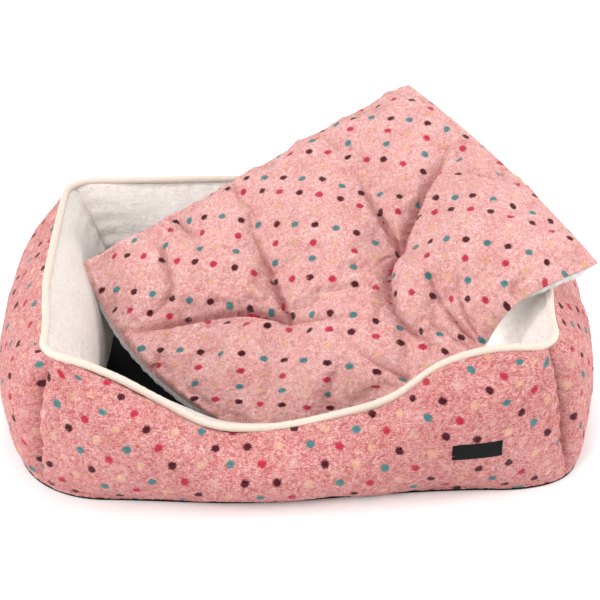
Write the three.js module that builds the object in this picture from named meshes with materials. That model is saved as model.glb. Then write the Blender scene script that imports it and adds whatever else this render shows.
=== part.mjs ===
// A bolster pet bed: four stuffed walls on a flat base cloth, with a low entrance in the
// front wall, and a loose reversible cushion that lies askew in the well.
// Millimetres, +Z up, +X to the right and +Y to the back. The origin is the middle of the
// base cloth's underside, which is the face that the bed stands on.

import * as THREE from "three";
import { mergeVertices } from "three/addons/utils/BufferGeometryUtils.js";

// Plan of the bed, as rounded rectangles: half width, half depth and corner radius. Each is
// wider than it is deep by the same amount, so the corner seams lie in one upright plane.
const BULGE_RING = { x: 297, y: 222, radius: 135 }; // the fullest part of the outer face
const BASE_RING = { x: 274, y: 199, radius: 88 }; // the foot of the outer face
const RIM_RING = { x: 247, y: 172, radius: 28 }; // the seam under the piping
const LINER_RING = { x: 220, y: 145, radius: 27 }; // the fullest part of the inner face
const FLOOR_RING = { x: 215, y: 140, radius: 26 }; // the foot of the inner face

// Heights of the bed
const WALL_HEIGHT = 144; // the rim seam on the sides and the back
const BASE_CLOTH = 2; // thickness of the base cloth
const PIPING_RADIUS = 5;
const OUTER_BULGE_LEVEL = 0.5; // share of the wall's height
const LINER_BULGE_LEVEL = 0.5;

// The rim seam along the front wall, as x and height, from left to right. It dips to the
// entrance, steeply on the left and then on the right.
const ENTRANCE_X = [-235, -185, -140, -95, -40, 35, 90, 135, 175, 235];
const ENTRANCE_HEIGHT = [144, 127, 102, 77, 71, 81, 97, 129, 142, 144];
const ENTRANCE_LEAN = 8; // how far the lowest part of the front rim stands out

// Cloth and clearances
const OUTER_PLUSH = 3;
const LINER_PLUSH = 4;
const CUSHION_PLUSH = 3;
const GAP = 0.4; // between a wall and the base cloth
const FILL_GAP = 1.8; // between a skin and the filling behind it
const PIPING_GAP = 1.7; // between the piping and the cloth below it
const SEAM_OFFSET = 3.4; // from the rim seam to the top edge of each skin
const CORNER_CLEARANCE = 0.004; // share of half a side, kept clear at each corner seam

// Woven label on the front wall
const LABEL = { x: 167, width: 46, height: 17, thickness: 0.8, level: 0.45, gap: 0.7 };

// The cushion's middle surface, as points in three rows from its back edge to its front
// edge. Each row runs from the cushion's left to its right.
const CUSHION_NET = [
  [[-222, 40, 116], [-138, 88, 140], [-54, 133, 168], [36, 188, 197], [126, 240, 223]],
  [[-142, -64, 50], [-52, -28, 88], [40, 10, 126], [128, 48, 166], [213, 86, 203]],
  [[-25, -135, 14], [62, -133, 44], [150, -125, 87], [221, -106, 149], [290, -57, 168]],
];
const CUSHION_EDGE = 3.2; // half thickness at the seam
const CUSHION_MIDDLE = 28; // half thickness in the middle
const CUSHION_COLUMNS = 12;
const CUSHION_ROWS = 10;

const PIPING_STEPS = 140;
const PIPING_QUARTER_SIDES = 4; // straight edges on each half of its round section
// Levels of the rows on a wall, from its foot to its rim. The filling stops one row short.
const WALL_LEVELS = [0, 0.2, 0.4, 0.6, 0.8, 0.92, 1];

// The four walls, turned round the bed from the front one. straight is the share of a side
// before its corners begin.
const SIDES = {
  front: { turn: 0, along: "x", out: "y", steps: 24, straight: 0.62 },
  right: { turn: 1, along: "y", out: "x", steps: 12, straight: 0.5 },
  back: { turn: 2, along: "x", out: "y", steps: 12, straight: 0.5 },
  left: { turn: 3, along: "y", out: "x", steps: 12, straight: 0.5 },
};

const UP = new THREE.Vector3(0, 0, 1);
const entranceRim = new THREE.CubicInterpolant(ENTRANCE_X, ENTRANCE_HEIGHT, 1);

function cloth(color, roughness) {
  return new THREE.MeshStandardMaterial({ color, roughness, metalness: 0 });
}

const PINK_PLUSH = cloth(0xe59a97, 0.95);
const CREAM_PLUSH = cloth(0xf3eee6, 0.95);
const CREAM_PIPING = cloth(0xf7ead6, 0.85);
const BLACK_CLOTH = cloth(0x1a1b1f, 0.7);
const GREY_PLUSH = cloth(0xdad8d4, 0.95);
const FIBRE_FILL = cloth(0xf4f4f2, 1);

// The quadratic curve that has three given values at 0, 0.5 and 1
function bend(first, middle, last, v) {
  const pull = 2 * middle - (first + last) / 2;
  return (1 - v) ** 2 * first + 2 * v * (1 - v) * pull + v ** 2 * last;
}

function bendSlope(first, middle, last, v) {
  const pull = 2 * middle - (first + last) / 2;
  return 2 * (1 - v) * (pull - first) + 2 * v * (last - pull);
}

// The angle round its corner that a side has turned at u, which runs from -1 to 1 between
// the middles of the side's two corners
function cornerAngle(side, u) {
  const turned = Math.max(Math.abs(u) - side.straight, 0) / (1 - side.straight);
  return (Math.sign(u) * turned * Math.PI) / 4;
}

// The place of u on a ring: how far along the side, and how far out from the bed's middle
function ringPlace(ring, side, u) {
  const angle = cornerAngle(side, u);
  const reach = Math.min(Math.max(u / side.straight, -1), 1);
  const along = reach * (ring[side.along] - ring.radius) + ring.radius * Math.sin(angle);
  const out = ring[side.out] - ring.radius * (1 - Math.cos(angle));
  return { along, out };
}

function rimPlace(side, u) {
  const { along, out } = ringPlace(RIM_RING, side, u);
  const inEntrance = side === SIDES.front && Math.abs(along) < ENTRANCE_X.at(-1);
  const height = inEntrance ? entranceRim.evaluate(along)[0] : WALL_HEIGHT;
  const lowness = (WALL_HEIGHT - height) / (WALL_HEIGHT - Math.min(...ENTRANCE_HEIGHT));
  return { along, out: out + ENTRANCE_LEAN * lowness, height };
}

// Turns a place on a side into a point of the bed.
function toBed(side, { along, out, height }) {
  const point = new THREE.Vector3(along, -out, height);
  return point.applyAxisAngle(UP, (side.turn * Math.PI) / 2);
}

// A point in the wall. v runs from 0 at the base to 1 at the rim. facing is 1 for the outer
// face and -1 for the inner one, and depth is how far the point lies behind that face.
function wallPoint(side, u, v, facing, depth) {
  const foot = ringPlace(facing > 0 ? BASE_RING : FLOOR_RING, side, u);
  const bulge = ringPlace(facing > 0 ? BULGE_RING : LINER_RING, side, u);
  const level = facing > 0 ? OUTER_BULGE_LEVEL : LINER_BULGE_LEVEL;
  const rim = rimPlace(side, u);
  const low = BASE_CLOTH + GAP;
  const high = rim.height - PIPING_RADIUS - PIPING_GAP;
  const angle = cornerAngle(side, u);
  const alongs = [foot.along, bulge.along, rim.along + facing * SEAM_OFFSET * Math.sin(angle)];
  const outs = [foot.out, bulge.out, rim.out + facing * SEAM_OFFSET * Math.cos(angle)];
  const heights = [low, low + (high - low) * level, high];
  const rise = bendSlope(...heights, v);
  const lean = Math.hypot(bendSlope(...outs, v), bendSlope(...alongs, v) * Math.sin(angle));
  const leanSign = Math.sign(bendSlope(...outs, v));
  const length = Math.hypot(rise, lean);
  const inward = (facing * depth * rise) / length;
  return toBed(side, {
    along: bend(...alongs, v) - inward * Math.sin(angle),
    out: bend(...outs, v) - inward * Math.cos(angle),
    height: bend(...heights, v) + (facing * depth * leanSign * lean) / length,
  });
}

// A point of the cushion, a given height above its middle surface. p runs from 0 to 1 along
// the rows of the net, and q across them, from the back edge to the front edge.
const cushionRows = CUSHION_NET.map(
  (row) => new THREE.CatmullRomCurve3(row.map((point) => new THREE.Vector3(...point))),
);

function cushionMiddle(p, q) {
  const [back, middle, front] = cushionRows.map((row) => row.getPoint(p));
  const point = new THREE.Vector3();
  for (const axis of ["x", "y", "z"]) {
    point[axis] = bend(back[axis], middle[axis], front[axis], q);
  }
  return point;
}

function cushionPoint(p, q, height) {
  const step = 0.01;
  const near = (share) => [Math.max(share - step, 0), Math.min(share + step, 1)];
  const [p0, p1] = near(p);
  const [q0, q1] = near(q);
  const alongP = cushionMiddle(p1, q).sub(cushionMiddle(p0, q));
  const alongQ = cushionMiddle(p, q1).sub(cushionMiddle(p, q0));
  const normal = alongQ.cross(alongP).normalize();
  return cushionMiddle(p, q).addScaledVector(normal, height);
}

// Half the cushion's thickness: thin at the seam, and full over the rest
function cushionHalf(p, q) {
  const fullness = Math.sqrt(16 * p * (1 - p) * q * (1 - q));
  return THREE.MathUtils.lerp(CUSHION_EDGE, CUSHION_MIDDLE, fullness);
}

// A box whose points are moved by place(along, through, up), each from 0 to 1
function warpedBox(steps, place) {
  const box = new THREE.BoxGeometry(1, 1, 1, ...steps);
  box.deleteAttribute("normal");
  box.deleteAttribute("uv");
  const warped = mergeVertices(box, 1e-4);
  const points = warped.getAttribute("position");
  for (let i = 0; i < points.count; i++) {
    const moved = place(points.getX(i) + 0.5, points.getY(i) + 0.5, points.getZ(i) + 0.5);
    points.setXYZ(i, moved.x, moved.y, moved.z);
  }
  warped.computeVertexNormals();
  return warped;
}

function piece(name, geometry, material) {
  const mesh = new THREE.Mesh(geometry, material);
  mesh.name = name;
  return mesh;
}

// From 0..1 along a wall to u, kept clear of the corner seams
function betweenSeams(along) {
  return (2 * along - 1) * (1 - CORNER_CLEARANCE);
}

// The plush skin on one face of a wall
function wallPanel(side, facing, thickness) {
  const rows = WALL_LEVELS.length - 1;
  return warpedBox([side.steps, 1, rows], (along, through, up) => {
    const depth = thickness * (facing > 0 ? through : 1 - through);
    const v = WALL_LEVELS[Math.round(up * rows)];
    return wallPoint(side, betweenSeams(along), v, facing, depth);
  });
}

// The stuffing between a wall's two skins
function wallFilling(side) {
  const rows = WALL_LEVELS.length - 2;
  return warpedBox([side.steps, 2, rows], (along, through, up) => {
    const u = betweenSeams(along);
    const v = WALL_LEVELS[Math.round(up * rows)];
    const outer = wallPoint(side, u, v, 1, OUTER_PLUSH + FILL_GAP);
    const inner = wallPoint(side, u, v, -1, LINER_PLUSH + FILL_GAP);
    return outer.lerp(inner, through);
  });
}

// The piping round the whole rim, which starts and ends in the middle of the back wall
function rimPiping() {
  const points = [];
  const addSide = (side, first, last) => {
    const count = 2 * side.steps;
    for (let i = 0; i <= count; i++) {
      const u = THREE.MathUtils.lerp(first, last, i / count);
      points.push(toBed(side, rimPlace(side, u)));
    }
    points.pop();
  };
  const buttJoint = 0.001;
  addSide(SIDES.back, buttJoint, 1);
  addSide(SIDES.left, -1, 1);
  addSide(SIDES.front, -1, 1);
  addSide(SIDES.right, -1, 1);
  addSide(SIDES.back, -1, -buttJoint);
  points.push(toBed(SIDES.back, rimPlace(SIDES.back, -buttJoint)));
  const section = new THREE.Shape();
  section.absarc(0, 0, PIPING_RADIUS, 0, 2 * Math.PI);
  return new THREE.ExtrudeGeometry(section, {
    curveSegments: PIPING_QUARTER_SIDES,
    steps: PIPING_STEPS,
    extrudePath: new THREE.CatmullRomCurve3(points),
  });
}

// The one flat cloth under the walls and the well
function baseCloth() {
  const { x, y, radius } = BASE_RING;
  const outline = new THREE.Shape();
  outline.absarc(x - radius, y - radius, radius, 0, Math.PI / 2);
  outline.absarc(radius - x, y - radius, radius, Math.PI / 2, Math.PI);
  outline.absarc(radius - x, radius - y, radius, Math.PI, 1.5 * Math.PI);
  outline.absarc(x - radius, radius - y, radius, 1.5 * Math.PI, 2 * Math.PI);
  return new THREE.ExtrudeGeometry(outline, {
    depth: BASE_CLOTH,
    curveSegments: 4,
    bevelEnabled: false,
  });
}

// The blank label, bent to the front wall
function wovenLabel() {
  const side = SIDES.front;
  const straightHalf = BULGE_RING.x - BULGE_RING.radius;
  const rise = LABEL.height / WALL_HEIGHT;
  return warpedBox([4, 1, 2], (along, through, up) => {
    const x = LABEL.x + (along - 0.5) * LABEL.width;
    const u = (x / straightHalf) * side.straight;
    const v = LABEL.level + (up - 0.5) * rise;
    return wallPoint(side, u, v, 1, -LABEL.gap - LABEL.thickness * (1 - through));
  });
}

// Spaces even steps closer together towards both ends.
function closerAtEnds(share) {
  return (1 - Math.cos(Math.PI * share)) / 2;
}

function cushionPanel(facing) {
  return warpedBox([CUSHION_COLUMNS, CUSHION_ROWS, 1], (along, through, up) => {
    const p = closerAtEnds(along);
    const q = closerAtEnds(1 - through);
    const depth = CUSHION_PLUSH * (facing > 0 ? 1 - up : up);
    return cushionPoint(p, q, facing * (cushionHalf(p, q) - depth));
  });
}

// The stuffing, which stops one step short of the seam all round
function cushionFilling() {
  const columns = CUSHION_COLUMNS - 2;
  const rows = CUSHION_ROWS - 2;
  return warpedBox([columns, rows, 2], (along, through, up) => {
    const p = closerAtEnds((1 + along * columns) / CUSHION_COLUMNS);
    const q = closerAtEnds((1 + (1 - through) * rows) / CUSHION_ROWS);
    const half = cushionHalf(p, q) - CUSHION_PLUSH - FILL_GAP;
    return cushionPoint(p, q, (2 * up - 1) * half);
  });
}

function bed() {
  const group = new THREE.Group();
  group.add(piece("base_cloth", baseCloth(), BLACK_CLOTH));
  for (const [name, side] of Object.entries(SIDES)) {
    group.add(piece(`outer_panel_${name}`, wallPanel(side, 1, OUTER_PLUSH), PINK_PLUSH));
    group.add(piece(`liner_panel_${name}`, wallPanel(side, -1, LINER_PLUSH), CREAM_PLUSH));
    group.add(piece(`bolster_fill_${name}`, wallFilling(side), FIBRE_FILL));
  }
  group.add(piece("rim_piping", rimPiping(), CREAM_PIPING));
  group.add(piece("woven_label", wovenLabel(), BLACK_CLOTH));
  return group;
}

function cushion() {
  const group = new THREE.Group();
  group.add(piece("cushion_top_panel", cushionPanel(1), PINK_PLUSH));
  group.add(piece("cushion_bottom_panel", cushionPanel(-1), GREY_PLUSH));
  group.add(piece("cushion_fill", cushionFilling(), FIBRE_FILL));
  return group;
}

const petBed = new THREE.Group();
petBed.add(bed(), cushion());

export default petBed;
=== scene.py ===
# The looks of a bolster pet bed: four stuffed plush walls with a piped rim on a base cloth,
# and a loose cushion that lies askew in the well. Lengths are worked out in millimetres and
# become metres when a mesh is made. +X is to the right, +Y to the back and +Z up.

import math

import bpy
import numpy as np
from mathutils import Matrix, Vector


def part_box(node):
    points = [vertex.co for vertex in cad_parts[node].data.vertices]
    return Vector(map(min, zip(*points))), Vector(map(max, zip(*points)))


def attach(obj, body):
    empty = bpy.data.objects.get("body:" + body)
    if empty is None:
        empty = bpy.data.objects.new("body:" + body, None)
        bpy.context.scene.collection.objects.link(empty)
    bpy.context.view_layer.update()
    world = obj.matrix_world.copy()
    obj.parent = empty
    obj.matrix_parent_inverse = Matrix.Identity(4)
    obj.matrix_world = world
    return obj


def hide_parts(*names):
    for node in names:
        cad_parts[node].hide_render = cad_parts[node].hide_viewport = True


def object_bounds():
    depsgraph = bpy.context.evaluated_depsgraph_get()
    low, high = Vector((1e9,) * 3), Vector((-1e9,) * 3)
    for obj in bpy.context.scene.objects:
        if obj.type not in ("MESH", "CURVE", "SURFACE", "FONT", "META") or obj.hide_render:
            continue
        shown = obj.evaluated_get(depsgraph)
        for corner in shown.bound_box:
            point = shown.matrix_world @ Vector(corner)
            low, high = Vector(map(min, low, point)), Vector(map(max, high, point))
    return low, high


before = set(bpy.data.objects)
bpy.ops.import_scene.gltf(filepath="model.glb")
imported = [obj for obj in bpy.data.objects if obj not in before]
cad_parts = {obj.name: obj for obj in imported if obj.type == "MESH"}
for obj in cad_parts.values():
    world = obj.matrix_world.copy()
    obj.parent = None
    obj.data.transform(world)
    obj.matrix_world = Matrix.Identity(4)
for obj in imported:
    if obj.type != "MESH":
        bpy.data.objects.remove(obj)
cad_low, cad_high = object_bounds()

MM = 0.001

# ---------------- sizes from the frame


def box_mm(node):
    """The lowest and highest corner of a CAD node, in millimetres."""
    low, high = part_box(node)
    return np.array(low) / MM, np.array(high) / MM


base_low, base_high = box_mm("base_cloth")
piping_high = box_mm("rim_piping")[1]
outer_high = box_mm("outer_panel_right")[1]
liner_low = box_mm("liner_panel_right")[0]

PIPING_RADIUS = 5.0  # of the CAD's piping
CORD_RADIUS = 3.7  # of the cord that is drawn, which is thinner
PIPING_SIDES = 28
OUTER_PLUSH = 3.0
LINER_PLUSH = 4.0

BASE_TOP = base_high[2]
RIM_HEIGHT = piping_high[2] - PIPING_RADIUS
WIDER = base_high[0] - base_high[1]  # every ring is wider than it is deep by this much


def ring(half_width, radius):
    """A rounded rectangle round the bed: half width, half depth and corner radius."""
    return {"x": half_width, "y": half_width - WIDER, "radius": radius}


BULGE_RING = ring(outer_high[0], 135)
BASE_RING = ring(base_high[0], 88)
RIM_RING = ring(piping_high[0] - PIPING_RADIUS, 28)
LINER_RING = ring(liner_low[0], 27)
FLOOR_RING = ring(liner_low[0] - 5, 26)
BULGE_LEVEL = 0.5  # where the widest ring lies, as a share of the height
SEAM_OFFSET = 3.0  # sideways from the rim's centre line to the top edge of each skin
RIM_TUCK = 1.8  # and down from it, where the skins are sewn to the piping
# How much fuller the inner faces are between the corners. The cushion presses on the front.
LINER_CROWN = {"front": 0.0, "right": 7.0, "back": 7.0, "left": 9.0}
WALL_FOOT = BASE_TOP + 0.4

# The rim along the front wall, as x and height. It dips to the entrance.
ENTRANCE_X = [-235, -185, -140, -95, -40, 35, 90, 135, 175, 235]
ENTRANCE_HEIGHT = [144, 127, 102, 77, 71, 81, 97, 129, 142, 144]
ENTRANCE_LEAN = 8  # how far out the rim leans at its lowest

# How a soft bed stands: its front corners drawn in by a share of its width, and its sides
# shifted along Y by a share of X
FRONT_TAPER = 0.036
FRONT_TAPER_FROM = -25.0  # the y at which it begins
FRONT_TAPER_LENGTH = 115.0
FIRM_HEIGHT = 55.0  # above the foot, where the corners are drawn in fully
ASKEW = 0.02
# Where the stuffing has pushed it out of its even shape: place, push and reach
PUSHES = [
    ((-45, -199, 0), (0, -12, 0), 110),
    ((250, -172, 0), (8, -7, 0), 50),
    ((-298, 60, 75), (-3.5, 0, 0), 130),
    ((-205, -70, 15), (-8, 0, 0), 70),
]

# turn is in quarter turns from the front wall. straight is the share of a side before its
# corners begin.
SIDES = {
    "front": {"turn": 0, "along": "x", "out": "y", "straight": 0.62},
    "right": {"turn": 1, "along": "y", "out": "x", "straight": 0.5},
    "back": {"turn": 2, "along": "x", "out": "y", "straight": 0.5},
    "left": {"turn": 3, "along": "y", "out": "x", "straight": 0.5},
}

# The cushion's middle surface, as rows of points from its back edge to its front edge
CUSHION_NET = np.array([
    [[-222, 40, 116], [-138, 88, 140], [-54, 133, 168], [36, 188, 197], [126, 240, 223]],
    [[-146, -67, 50], [-52, -28, 88], [40, 10, 126], [128, 48, 166], [213, 86, 203]],
    [[-25, -135, 14], [62, -133, 44], [155, -125, 92], [207, -100, 149], [290, -57, 168]],
], float)
CUSHION_LENGTH = 415.0
CUSHION_WIDTH = 340.0
CUSHION_PLUSH = 3.0
CUSHION_START = 27.0  # half thickness in the middle before it is stuffed
UNDERSIDE_BAG = 6.5  # how far the underside bags out past the seam at the left edge
TIP_BAG = 5.0  # and past the front seam near the raised right corner
BAG_AT = 7.0  # how far in from the edge the underside bags most
FOLD_DEPTH = 7.5  # of a fold along a crease that is CREASE_DEPTH deep, below its hollow
CREASE_DEPTH = 20.0
FOLD_WIDTH = 1.7
FILL_GAP = 2.0  # between the filling and the plush
SEAM_SWELL = 16.0  # least thickness of the cushion, which it reaches a little way in from its seam
CLOTH_STEP = 6.0  # spacing of the simulated cloth
CLOTH_GATHER = 1.145  # how much wider the cushion's cloth is cut than it lies

# Creases of the cushion's top, each from the tuft or its deep end to where it fades out.
# Points are in shares of the cushion's length and width. Then come its depth and width in
# millimetres, and the share of its depth that is left at the far end.
TUFT_A = (0.315, 0.6)
TUFT_B = (0.635, 0.592)
TUFT_DEPTH = 22.0
TUFT_REACH = 20.0
CREASES = [
    ([TUFT_A, (0.34, 0.51), (0.375, 0.375), (0.41, 0.225)], 21, 13, 0.2),
    ([TUFT_A, (0.255, 0.5), (0.135, 0.405), (0.02, 0.34)], 22, 13, 0.8),
    ([TUFT_A, (0.38, 0.69), (0.43, 0.74)], 12, 12, 0.1),
    ([TUFT_B, (0.65, 0.5), (0.67, 0.37), (0.69, 0.27)], 22, 12, 0.1),
    ([TUFT_B, (0.69, 0.55), (0.785, 0.47), (0.915, 0.38)], 20, 12, 0.4),
    ([TUFT_B, (0.555, 0.66), (0.495, 0.79), (0.505, 0.95)], 19, 13, 0.6),
    ([(0.585, 0.98), (0.604, 0.843), (0.65, 0.735)], 17, 12, 0.3),
    ([TUFT_B, (0.565, 0.61), (0.5, 0.64)], 11, 12, 0.2),
    ([(0.27, 0.05), (0.285, 0.245)], 12, 10, 0.1),
    ([(0.195, 0.14), (0.15, 0.295), (0.06, 0.335)], 8, 10, 0.9),
    ([(0.0, 0.5), (0.05, 0.46)], 12, 11, 0.3),
    ([(0.985, 0.4), (0.93, 0.37)], 10, 11, 0.3),
    ([(0.6, 0.98), (0.645, 0.88), (0.71, 0.8)], 13, 8, 0.1),
    ([(0.56, 0.98), (0.55, 0.89), (0.53, 0.81)], 12, 8, 0.1),
    ([(0.275, 0.56), (0.232, 0.512), (0.154, 0.462), (0.06, 0.46)], 10, 6, 0.2),
    ([(0.4, 0.95), (0.368, 0.86), (0.368, 0.77), (0.35, 0.68)], 9, 8, 0.3),
]

# ---------------- smooth noise


def lattice(seed, *place):
    """A fixed scatter of values from -1 to 1, one for each whole-number place."""
    mixed = np.int64(seed) * 1274126177
    for number, prime in zip(place, (374761393, 668265263, 2147483647)):
        mixed = mixed + number.astype(np.int64) * prime
    mixed = mixed & 0xFFFFFFFF
    mixed = ((mixed ^ (mixed >> 13)) * 1274126177) & 0xFFFFFFFF
    return ((mixed ^ (mixed >> 16)) & 0xFFFF) / 32767.5 - 1


def smooth_noise(seed, *place):
    """Smooth noise from about -1 to 1 in two or three ways, with lumps one unit wide."""
    whole = [np.floor(way) for way in place]
    share = [way - low for way, low in zip(place, whole)]
    share = [t * t * (3 - 2 * t) for t in share]
    total = 0.0
    for corner in range(2 ** len(place)):
        steps = [(corner >> k) & 1 for k in range(len(place))]
        weight = 1.0
        for step, t in zip(steps, share):
            weight = weight * (t if step else 1 - t)
        total = total + weight * lattice(seed, *[low + step for low, step in zip(whole, steps)])
    return total


def noise(x, y, size, seed):
    """Smooth noise over a cloth, with lumps of the given size."""
    return smooth_noise(seed, x / size + 1000, y / size + 1000)


def ripples(run, spacing, wander):
    """Even waves along a run, put out of step by wander."""
    return np.sin(2 * math.pi * (run + wander) / spacing)


CURL = 2.8  # width of one curl of the pile
# How far the curls stand above the dips between them
PILE = 1.5
LINER_PILE = 0.7
UNDERSIDE_PILE = 1.2
PILE_LEVEL = 0.6  # of the curls' height, where it neither adds to the cloth nor takes away


def curls(grid, size, seed):
    """The curly surface of plush: short winding tufts of the given width, from 0 to 1."""
    x, y, z = (grid[..., k] / size + 1000 for k in range(3))
    bend_x = 0.7 * smooth_noise(seed, x / 2, y / 2, z / 2)
    bend_z = 0.7 * smooth_noise(seed + 1, x / 2, y / 2, z / 2)
    ridges = 1 - np.abs(smooth_noise(seed + 2, x + bend_x, y, z + bend_z))
    tufts = 0.5 + 0.5 * smooth_noise(seed + 3, x * 1.2, y * 1.2, z * 1.2)
    return 0.6 * ridges + 0.4 * tufts


# ---------------- grids and meshes


def unit(vectors):
    """The same directions, each with a length of 1."""
    return vectors / np.linalg.norm(vectors, axis=-1, keepdims=True)


def slopes(grid):
    """The directions along a grid's two ways, and its unit normal."""
    down, along = np.gradient(grid, axis=0), np.gradient(grid, axis=1)
    return down, along, unit(np.cross(along, down))


def lengths(grid, axis):
    """The distance run along one way of a grid, from its first row or column."""
    steps = np.linalg.norm(np.diff(grid, axis=axis), axis=2)
    pad = [(0, 0), (0, 0)]
    pad[axis] = (1, 0)
    return np.pad(np.cumsum(steps, axis=axis), pad)


COARSE = 4  # rows of a skin's face for each row of its back


def quads(ids):
    """The four-sided faces between the vertices of a grid."""
    return np.stack([ids[:-1, :-1], ids[:-1, 1:], ids[1:, 1:], ids[1:, :-1]], -1).reshape(-1, 4)


def shell(face, back, coarse=COARSE):
    """Vertices and faces of a closed skin from its face and its back, of which only every
    row and column that coarse steps to is used."""
    rows, cols = face.shape[:2]
    back = back[::coarse, ::coarse]
    back_rows, back_cols = back.shape[:2]
    front_id = np.arange(rows * cols).reshape(rows, cols)
    back_id = np.arange(back_rows * back_cols).reshape(back_rows, back_cols) + rows * cols
    points = np.concatenate([face.reshape(-1, 3), back.reshape(-1, 3)])

    faces = quads(front_id).tolist() + quads(back_id)[:, ::-1].tolist()
    edges = [
        (front_id[0], back_id[0], True), (front_id[-1], back_id[-1], False),
        (front_id[:, 0], back_id[:, 0], False), (front_id[:, -1], back_id[:, -1], True),
    ]
    for near, far, reverse in edges:
        for k in range(len(far) - 1):
            strip = near[k * coarse : (k + 1) * coarse + 1].tolist()
            loop = strip[::-1] + [int(far[k]), int(far[k + 1])]
            faces.append(loop[::-1] if reverse else loop)
    return points, faces


def add_object(name, data):
    made = bpy.data.objects.new(name, data)
    bpy.context.scene.collection.objects.link(made)
    return made


def new_object(name, points, faces, material, fabric=None, pile=None):
    """A smooth mesh object. fabric is each vertex's place on its cloth, in millimetres, and
    pile is how high its curls stand there, from 0 to 1."""
    mesh = bpy.data.meshes.new(name)
    mesh.from_pydata((points * MM).tolist(), [], faces)
    if pile is not None:
        heights = np.full(len(mesh.vertices), 0.5, np.float32)
        heights[: pile.size] = pile.ravel()
        mesh.attributes.new("pile", "FLOAT", "POINT").data.foreach_set("value", heights)
    if fabric is not None:
        layer = mesh.attributes.new("fabric", "FLOAT_VECTOR", "POINT")
        flat = np.zeros((len(mesh.vertices), 3), np.float32)
        flat[: len(fabric), : fabric.shape[1]] = fabric
        layer.data.foreach_set("vector", flat.ravel())
    mesh.shade_smooth()
    if material is not None:
        mesh.materials.append(material)
    return add_object(name, mesh)


def finish_piece(piece, body, node):
    """Ties a piece to its body and hides the CAD node that it stands for."""
    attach(piece, body)
    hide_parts(node)
    return piece


def fading(distance, width):
    """1 at no distance, and less by a factor of e with each width."""
    return np.exp(-distance / width)


# ---------------- the walls


def bend(first, middle, last, v):
    """The quadratic curve that has three given values at 0, 0.5 and 1."""
    pull = 2 * middle - (first + last) / 2
    return (1 - v) ** 2 * first + 2 * v * (1 - v) * pull + v ** 2 * last


def corner_angle(side, u):
    """How far u, from -1 to 1 along a side, has turned towards the next side, in radians."""
    turned = np.maximum(np.abs(u) - side["straight"], 0) / (1 - side["straight"])
    return np.sign(u) * turned * math.pi / 4


def ring_place(ring, side, u):
    """How far along its side, and how far out from the bed's middle, u lies on a ring."""
    angle = corner_angle(side, u)
    reach = np.clip(u / side["straight"], -1, 1)
    along = reach * (ring[side["along"]] - ring["radius"]) + ring["radius"] * np.sin(angle)
    out = ring[side["out"]] - ring["radius"] * (1 - np.cos(angle))
    return along, out


def cubic(x, xs, ys):
    """The natural-looking cubic through given points, which doesn't overshoot much."""
    xs, ys = np.array(xs, float), np.array(ys, float)
    slope = np.gradient(ys, xs)
    slope[0] = slope[-1] = 0
    k = np.clip(np.searchsorted(xs, x) - 1, 0, len(xs) - 2)
    step = xs[k + 1] - xs[k]
    t = np.clip((x - xs[k]) / step, 0, 1)
    return (
        ys[k] * (1 + 2 * t) * (1 - t) ** 2 + ys[k + 1] * t ** 2 * (3 - 2 * t)
        + step * (slope[k] * t * (1 - t) ** 2 - slope[k + 1] * t ** 2 * (1 - t))
    )


def rim_place(side, u):
    """How far along, how far out and how high the rim's centre line lies."""
    along, out = ring_place(RIM_RING, side, u)
    height = np.full_like(along, RIM_HEIGHT)
    if side is SIDES["front"]:
        height = cubic(along, ENTRANCE_X, ENTRANCE_HEIGHT)
    lowness = (RIM_HEIGHT - height) / (RIM_HEIGHT - min(ENTRANCE_HEIGHT))
    return along, out + ENTRANCE_LEAN * lowness, height


def eased(t):
    """Rises smoothly from 0 at t = 0 to 1 at t = 1."""
    t = np.clip(t, 0, 1)
    return t * t * (3 - 2 * t)


def to_bed(side, along, out, height):
    """Turns a place on a side into points of the bed, which stands a little askew, with its
    front corners drawn in above the foot."""
    angle = side["turn"] * math.pi / 2
    x = along * math.cos(angle) + out * math.sin(angle)
    y = along * math.sin(angle) - out * math.cos(angle)
    drawn_in = eased((FRONT_TAPER_FROM - y) / FRONT_TAPER_LENGTH) * eased(height / FIRM_HEIGHT)
    x = x * (1 - FRONT_TAPER * drawn_in)
    even = np.stack([x, y + ASKEW * x, height], -1)
    pushed = even.copy()
    for place, push, reach in PUSHES:
        away = np.linalg.norm(even - place, axis=-1, keepdims=True)
        pushed += np.array(push) * np.exp(-(away / reach) ** 2)
    return pushed


def wall_face(side, u, v, facing):
    """Points of a wall's outer face (facing 1) or inner face (-1). v is 0 at the foot."""
    foot = ring_place(BASE_RING if facing > 0 else FLOOR_RING, side, u)
    bulge = ring_place(BULGE_RING if facing > 0 else LINER_RING, side, u)
    rim_along, rim_out, rim_height = rim_place(side, u)
    angle = corner_angle(side, u)
    high = rim_height - RIM_TUCK
    return to_bed(
        side,
        bend(foot[0], bulge[0], rim_along + facing * SEAM_OFFSET * np.sin(angle), v),
        bend(foot[1], bulge[1], rim_out + facing * SEAM_OFFSET * np.cos(angle), v),
        bend(WALL_FOOT, WALL_FOOT + (high - WALL_FOOT) * BULGE_LEVEL, high, v),
    )


PRINT_TURN = 0.055  # of the print against the foot of each wall, in radians
FINE = 1.3  # spacing of the fine grids
SKIN_HEIGHT = 168.0  # of a wall's skin, from its foot up over its bulge to the rim
SEAM_END = 0.9996  # share of half a side at which a skin stops beside its corner seam
SEAM_PULL = {1: 11.0, -1: 5.0}  # how deep the corner seams lie outside and inside
SEAM_WIDTH = 6.5
SEAM_RIDGE = 2.2  # height of the ridge beside each corner seam
RIDGE_AT = 17.0
RIDGE_WIDTH = 8.0


def even_count(length):
    """How many fine steps a length has, in whole groups of COARSE."""
    return COARSE * math.ceil(length / FINE / COARSE)


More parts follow.
